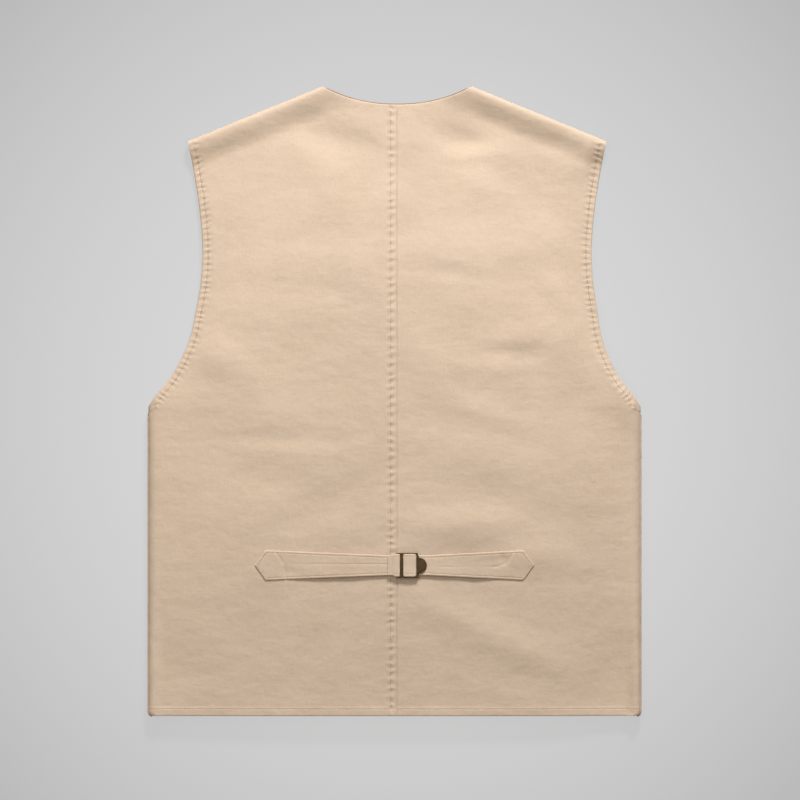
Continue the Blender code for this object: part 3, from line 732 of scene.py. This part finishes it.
# %% [markdown]
# ## The front
#
# The front is hidden in the laid-out view and is finished plainly: two halves beside a closing
# strip, with the same hem and the same cloth.

# %% The front's halves and the placket
def front_half(name, side):
    outer = armhole_line(side, FRONT_CUT, ARM_BAND - 0.0001)[::2]
    neck = neck_line(side, front_neck_edge(side), NECK_BAND - 0.0001, 40)
    right = np.concatenate([upright((side * HALF_CHEST, HEM_Y), outer[-1], SIDE_STEPS // 2), outer[::-1]])
    middle_x = neck[0, 0]
    left = np.concatenate([upright((middle_x, HEM_Y), neck[0],
                                   len(right) - len(neck) - len(HEM_STEPS) + 1), neck])
    rolled = roll_depths(SIDE_ROLL)[::-1]
    way = unit(outer[0] - neck[-1])
    top = np.concatenate([np.linspace(neck[-1], outer[0] - way * rolled[0], 41)[:-1],
                          outer[0] - way * rolled[:, None]])
    hem_x = np.concatenate([np.linspace(middle_x, side * (HALF_CHEST - rolled[0]), 41)[:-1],
                            side * (HALF_CHEST - rolled)])
    bottom = np.stack([hem_x, np.full(len(hem_x), HEM_Y)], -1)
    places = fill(bottom, top, left, right)
    x, y = places[..., 0], places[..., 1]
    z = front_height(x, y) + 0.0004 - hem_relief(x, y)
    return cloth(name, lift(round_corners(places), z), CLOTH, body_twill, turned=side > 0)


front_left = front_half("front_left", -1)
front_right = front_half("front_right", 1)


def placket_rows():
    x = SEAM_X + PLACKET_HALF * np.linspace(-1, 1, 25)
    y = np.linspace(HEM_Y, V_Y, 200)
    places = np.stack(np.meshgrid(x, y), -1)
    edge = PLACKET_HALF - abs(places[..., 0] - SEAM_X)
    z = quarter(edge, 0.0008) + 0.0002 * bump(edge - 0.003, 0.0008)
    return lift(places, z)


placket = cloth("placket", placket_rows(), 0.0022, edge_twill, turned=True)

# %% [markdown]
# ## The cinch straps
#
# A cinch strap is a strip folded so that its raw edges meet in the middle, which leaves a line
# along its centre. Its pointed end is sewn flat. From there it runs free to the buckle, so it
# stands a little off the back and throws a shadow. The left one loops round the first bar, and
# the right one comes up beside the tongue, goes over the catch bar and ends under it.

# %% A strap's relief
BUCKLE_Z = sum(corner.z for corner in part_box("buckle")) / 2
STRAP_OFF = 0.0008 + GAP + STRAP_CLOTH / 2
LOOP_END, HELD_X = -0.0074, 0.0373
room = BUCKLE_Z - STRAP_OFF - STRAP_CLOTH / 2 - float(back_height(0.02, STRAP_Y))
print("room under the strap at the buckle:", round(room * 1000, 2), "mm")
EDGE_STEPS = np.array([0, 0.0001, 0.0003, 0.0006, 0.0010, 0.0015, 0.0019, 0.0022, 0.0025, 0.0030, 0.0038]) / 0.0135
STRAP_SHARES = np.concatenate([EDGE_STEPS, np.linspace(EDGE_STEPS[-1], 2 - EDGE_STEPS[-1], 20)[1:-1],
                               2 - EDGE_STEPS[::-1]]) - 1


def distance_to_run(x, y, points):
    """Plan distance from each place to a line through a few points."""
    nearest = np.full(np.broadcast(x, y).shape, 1.0)
    for (ax, ay), (bx, by) in zip(points[:-1], points[1:]):
        share = ((x - ax) * (bx - ax) + (y - ay) * (by - ay)) / ((bx - ax) ** 2 + (by - ay) ** 2)
        share = np.clip(share, 0, 1)
        nearest = np.minimum(nearest, np.hypot(x - mix(ax, bx, share), y - mix(ay, by, share)))
    return nearest


def strap_relief(side, x, v, half):
    """Rounded edges, stitch rows, the centre line and the creases where the sewn end stops."""
    from_point = STRAP_REACH - abs(x)
    slant = (from_point * TAB_WIDTH / 2 - abs(v) * POINT_LENGTH) / math.hypot(TAB_WIDTH / 2, POINT_LENGTH)
    edge = np.where(from_point < 2 * POINT_LENGTH, np.minimum(slant, half - abs(v)), half - abs(v))
    relief = -quarter(edge, 0.0006) - 0.00030 * bump(edge - 0.0021, 0.00055)
    relief = relief + 0.00012 * ripple(abs(x) + 0.5 * v, 0.0075, side) * bump(edge - 0.0021, 0.0025)
    free = smooth((from_point - SEWN_LENGTH) / 0.012)
    if side < 0:
        relief = relief - 0.00045 * free * bump(v - 0.0012, 0.00055)
        crease = [(-0.1325, 0.0150), (-0.1225, 0.0010), (-0.1205, -0.0160)]
        dent = 0.0007 * bump(np.hypot((x + 0.116) / 1.6, v + 0.007), 0.006)
    else:
        middle = bump(x - 0.060, 0.012) + bump(x - 0.108, 0.008)
        relief = relief - 0.00035 * middle * bump(v + 0.0018, 0.0008)
        crease = [(0.1330, 0.0150), (0.1240, 0.0020), (0.1110, -0.0020)]
        dent = 0.0012 * bump(np.hypot(x - 0.121, v - 0.0075), 0.0060)
    return relief - 0.00055 * bump(distance_to_run(x, v, crease), 0.0011) - dent


# %% The straps' rows
def strap_run(side, held_x):
    point_x, corner_x = side * STRAP_REACH, side * (STRAP_REACH - POINT_LENGTH)
    crease_x = side * (STRAP_REACH - SEWN_LENGTH)
    tip = point_x - side * np.concatenate([[0.0, 0.0002, 0.0005, 0.0010, 0.0017, 0.0025],
                                           np.linspace(0.0035, POINT_LENGTH, 9)])
    x = np.concatenate([tip, np.linspace(corner_x, held_x,
                                         int(abs(corner_x - held_x) / 0.0012))[1:]])[:, None]
    half = mix(TAB_WIDTH, STRAP_END_WIDTH, np.clip((x - corner_x) / (held_x - corner_x), 0, 1)) / 2
    half = half * np.minimum((STRAP_REACH - abs(x)) / POINT_LENGTH, 1.0)
    v = half * STRAP_SHARES[None, :]
    seat = back_height(x, STRAP_Y + v) + STRAP_CLOTH / 2 + 0.0001
    blend_length = abs(corner_x - held_x) / 3
    lifted = STRAP_LIFT * smooth((abs(crease_x) - abs(x)) / blend_length)
    held = 1 - smooth(abs(x - held_x) / blend_length)
    wave = 0.0004 * ripple(x, 0.055, 2 + side) * smooth((abs(crease_x) - abs(x)) / 0.02) * (1 - held)
    z = np.maximum(seat, mix(seat + lifted + wave, BUCKLE_Z - STRAP_OFF, held))
    z = z + strap_relief(side, x, v, half)
    return np.stack([x + 0 * v, STRAP_Y + v, z], -1)


def rounded(path, times=2):
    """The path with its corners cut to soft bends."""
    for _ in range(times):
        first, last = path[:1], path[-1:]
        cut = np.stack([mix(path[:-1], path[1:], 0.25), mix(path[:-1], path[1:], 0.75)], 1).reshape(-1, 2)
        path = np.concatenate([first, cut, last])
    return path


def strap(name, side, held_x, path):
    run = strap_run(side, held_x)
    x, z = rounded(np.array([(held_x, -STRAP_OFF)] + path)).T[:, 1:, None]
    over = smooth((z - 0.0009) / (STRAP_OFF - 0.0009))
    shown = np.maximum(over, smooth((x - 0.0245) / 0.002))
    half = STRAP_END_WIDTH / 2 + 0.0014 * over
    v = half * STRAP_SHARES[None, :]
    edge = half - abs(v)
    way = np.sign(z + 1e-9)
    relief = -quarter(edge, 0.0006) - 0.00025 * bump(edge - 0.0021, 0.0005)
    rows = np.stack([x + 0 * v, STRAP_Y + v, BUCKLE_Z + z + shown * relief], -1)
    return cloth(name, np.concatenate([run, rows]), STRAP_CLOTH, edge_twill,
                 turned=side > 0, ring=True, offset=0)


LOOP = [(0.0050, -STRAP_OFF), (0.00535, -0.0013), (0.00535, 0.0013), (0.0050, STRAP_OFF), (0.0005, STRAP_OFF),
        (-0.0030, 0.0004), (LOOP_END, -0.0002)]
THREADED = [(0.0244, -STRAP_OFF), (0.02375, -0.0012), (0.0236, 0.0008), (0.0228, STRAP_OFF), (0.0112, STRAP_OFF),
            (0.01015, 0.0012), (0.01015, -0.0012), (0.0112, -STRAP_OFF), (0.0195, -STRAP_OFF)]
strap_left = strap("cinch_strap_left", -1, LOOP_END, LOOP)
strap_right = strap("cinch_strap_right", 1, HELD_X, THREADED)

# %% [markdown]
# ## The stitches
#
# A lockstitch shows as a row of short threads that sink into the cloth. Each is a small ellipsoid
# with few faces, because there are over a thousand of them.

# %% Rows of stitches
thread = Finish("thread")
thread.join(thread.shader, {"Base Color": (0.46, 0.335, 0.225, 1), "Roughness": 0.7,
                            "Specular IOR Level": 0.3})


def sew(name, lines, pitch=0.0031, width=0.00042):
    """Lines are arrays of places in space; each gets threads at an even pitch."""
    whole, few_mesh, count = bmesh.new(), bpy.data.meshes.new("few"), 0
    for line in lines:
        run = run_along(line)
        starts = np.arange(0.5, int(run[-1] / pitch)) * pitch
        at = np.stack([np.interp(starts, run, line[:, k]) for k in range(3)], -1)
        ahead = np.stack([np.interp(starts + pitch / 2, run, line[:, k]) for k in range(3)], -1)
        for first in range(0, len(at), 40):
            few = bmesh.new()
            for place, goal in zip(at[first:first + 40], ahead[first:first + 40]):
                way = Vector(goal - place).to_track_quat("X", "Z").to_matrix().to_4x4()
                shape = Matrix.Translation(place) @ way @ Matrix.Diagonal((pitch * 0.40, width, width * 0.8, 1))
                bmesh.ops.create_uvsphere(few, u_segments=6, v_segments=4, radius=1.0, matrix=shape)
            few.to_mesh(few_mesh)
            few.free()
            whole.from_mesh(few_mesh)
        count += len(at)
    bpy.data.meshes.remove(few_mesh)
    print(name, count, "stitches")
    return own_object(name, whole, thread.material)


def over_back(line, rise):
    return lift(line, back_height(line[:, 0], line[:, 1]) + rise)


def over_front(line, rise):
    return lift(line, front_height(line[:, 0], line[:, 1]) + rise)


STITCH_SINK = 0.00025
arm_rows = []
for side in (-1, 1):
    free = armhole_line(side, 0.0, BAND_ROW)[6:-6]
    arm_rows.append(over_back(free, -STITCH_SINK))
    arm_rows.append(over_front(armhole_line(side, FRONT_CUT, BAND_ROW)[6:-6], 0.0002))
arm_stitches = sew("armhole_stitches", arm_rows)

neck_rows_sewn = []
for side in (-1, 1):
    neck_rows_sewn.append(over_front(neck_line(side, front_neck_edge(side), 0.0061, 80)[:-5], 0.0002))
neck_stitches = sew("neck_stitches", neck_rows_sewn)

hem_x = np.linspace(0.003 - HALF_CHEST, HALF_CHEST - 0.003, 400)
hem_line = np.stack([hem_x, np.full(400, HEM_Y + 0.0080)], -1)
hem_stitches = sew("hem_stitches", [over_back(hem_line, 0.0), over_front(hem_line, 0.0003)])

lap_y = np.linspace(HEM_Y + 0.001, NECK_Y - NECK_DROP - 0.002, 500)
lap_line = np.stack([np.full(500, SEAM_X - 0.0073), lap_y], -1)
lap_stitches = sew("lap_stitches", [over_back(lap_line, 0.0001)])


def strap_edges(side, held_x, inset=0.0021):
    run = strap_run(side, held_x)
    half = abs(run[:, 0, 1] - STRAP_Y)
    inner = np.maximum(half - inset, 0) / np.maximum(half, 1e-6)
    lines = []
    for way in (-1, 1):
        rows = np.stack([np.interp(way * inner[k], STRAP_SHARES, run[k, :, 2]) for k in range(len(run))])
        y = STRAP_Y + way * inner * half
        line = np.stack([run[:, 0, 0], y, rows + STRAP_CLOTH / 2 - 0.00005], -1)
        lines.append(line[half > inset + 0.0002])
    return lines


strap_stitches_left = sew("strap_stitches_left", strap_edges(-1, LOOP_END), pitch=0.0027, width=0.00034)
strap_stitches_right = sew("strap_stitches_right", strap_edges(1, HELD_X), pitch=0.0027, width=0.00034)

# %% [markdown]
# ## The buckle
#
# The cinch buckle is stamped from sheet brass and browned. Stamping leaves soft edges, so the solid keeps its
# shape and only gets a bevel; its colour and roughness vary in small spots.

# %% Browned brass
bronze = Finish("browned_brass")
spots = bronze.noise(0.0022, 3.0)
bronze.join(bronze.shader, {
    "Base Color": bronze.blend((spots - 0.35) * 1.8, (0.085, 0.050, 0.019, 1), (0.155, 0.098, 0.042, 1)),
    "Metallic": 0.75,
    "Roughness": 0.36 + 0.22 * spots,
    "Normal": bronze.node("ShaderNodeBump", {},
                          {"Strength": 0.25, "Distance": 1.0, "Height": spots * 0.00006}),
})
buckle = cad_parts["buckle"]
buckle.data.materials.clear()
buckle.data.materials.append(bronze.material)
joined = buckle.modifiers.new("joined", "WELD")
joined.merge_threshold = 0.00001
soft = buckle.modifiers.new("soft_edges", "BEVEL")
soft.width, soft.segments, soft.limit_method, soft.angle_limit = 0.00045, 3, "ANGLE", math.radians(40)

# %% [markdown]
# ## Camera, floor and light
#
# The camera looks from straight above through a long lens at a pale sweep. The sweep's glow is painted light, a
# pool brightest in the middle that darkens towards the corners. The lamps are large and soft, and the light comes
# mostly from beyond the neck.

# %% Camera
PHOTO_WIDTH, CAMERA_UP = 0.8925, 6.0
camera = bpy.data.objects.new("camera", bpy.data.cameras.new("camera"))
bpy.context.scene.collection.objects.link(camera)
camera.data.lens = camera.data.sensor_width * (CAMERA_UP - 0.018) / PHOTO_WIDTH
camera.location = (0.0061, 0.0011, CAMERA_UP)
bpy.context.scene.camera = camera
print("lens", round(camera.data.lens, 1), "mm")

# %% Floor
bm = bmesh.new()
bmesh.ops.create_grid(bm, x_segments=2, y_segments=2, size=6.0)
sweep = Finish("sweep")
spot = sweep.node("ShaderNodeSeparateXYZ", {}, {0: sweep.node("ShaderNodeTexCoord", output="Object")})
spot_x = Wire(sweep, spot.socket.node.outputs[0])
spot_y = Wire(sweep, spot.socket.node.outputs[1]) + 0.039
# The sweep's emitted colour is painted light: a pool brightest in the middle that darkens towards the corners. Its
# glow also keeps the vest's shadow on the floor faint.
painted_light_pool = 0.613 - 0.514 * (spot_x * spot_x + spot_y * spot_y)
painted_light_pool = painted_light_pool.maths("MAXIMUM", painted_light_pool, 0.10)
sweep.join(sweep.shader, {
    "Base Color": (0.08, 0.08, 0.08, 1),
    "Roughness": 0.9,
    "Specular IOR Level": 0.1,
    "Emission Color": sweep.node("ShaderNodeCombineXYZ", {}, {0: painted_light_pool, 1: painted_light_pool, 2: painted_light_pool}),
    "Emission Strength": 1.0,
})
floor = own_object("floor", bm, sweep.material)
floor.location.z = -0.0005

# %% Light
def softbox(name, place, size, watts, colour=(1, 1, 1)):
    lamp = bpy.data.lights.new(name, "AREA")
    lamp.shape, lamp.size, lamp.energy, lamp.color = "DISK", size, watts, colour
    made = bpy.data.objects.new(name, lamp)
    made.location = place
    made.rotation_euler = (-Vector(place)).to_track_quat("-Z", "Y").to_euler()
    bpy.context.scene.collection.objects.link(made)
    return made


softbox("key", (0.44, 2.54, 1.76), 0.70, 104, (0.965, 0.985, 1.03))
softbox("fill", (-0.7, 0.4, 1.9), 1.5, 11, (1.03, 1.0, 0.97))
world = bpy.data.worlds.new("studio")
world.use_nodes = True
world.node_tree.nodes["Background"].inputs["Color"].default_value = (1.04, 0.995, 0.96, 1)
world.node_tree.nodes["Background"].inputs["Strength"].default_value = 0.22
bpy.context.scene.world = world
bpy.context.scene.view_settings.view_transform = "Standard"

# %% [markdown]
# ## Join the scene to the CAD model
#
# Each piece rides on the one body and stands in for its solid, whose own mesh is hidden.

# %% Ride and replace
PIECES = [
    (back_left, "back_panel_left", "twill"),
    (back_right, "back_panel_right", "twill"),
    (front_left, "front_panel_left", "twill"),
    (front_right, "front_panel_right", "twill"),
    (band_left, "armhole_band_left", "twill_edge"),
    (band_right, "armhole_band_right", "twill_edge"),
    (neck_band, "neck_band", "twill_edge"),
    (placket, "front_placket", "twill_edge"),
    (strap_left, "strap_left", "twill_edge"),
    (strap_right, "strap_right", "twill_edge"),
]
for piece, node, slot in PIECES:
    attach(piece, "root")
    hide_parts(node)
for rows in (facing, arm_stitches, neck_stitches, hem_stitches, lap_stitches,
             strap_stitches_left, strap_stitches_right):
    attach(rows, "root")
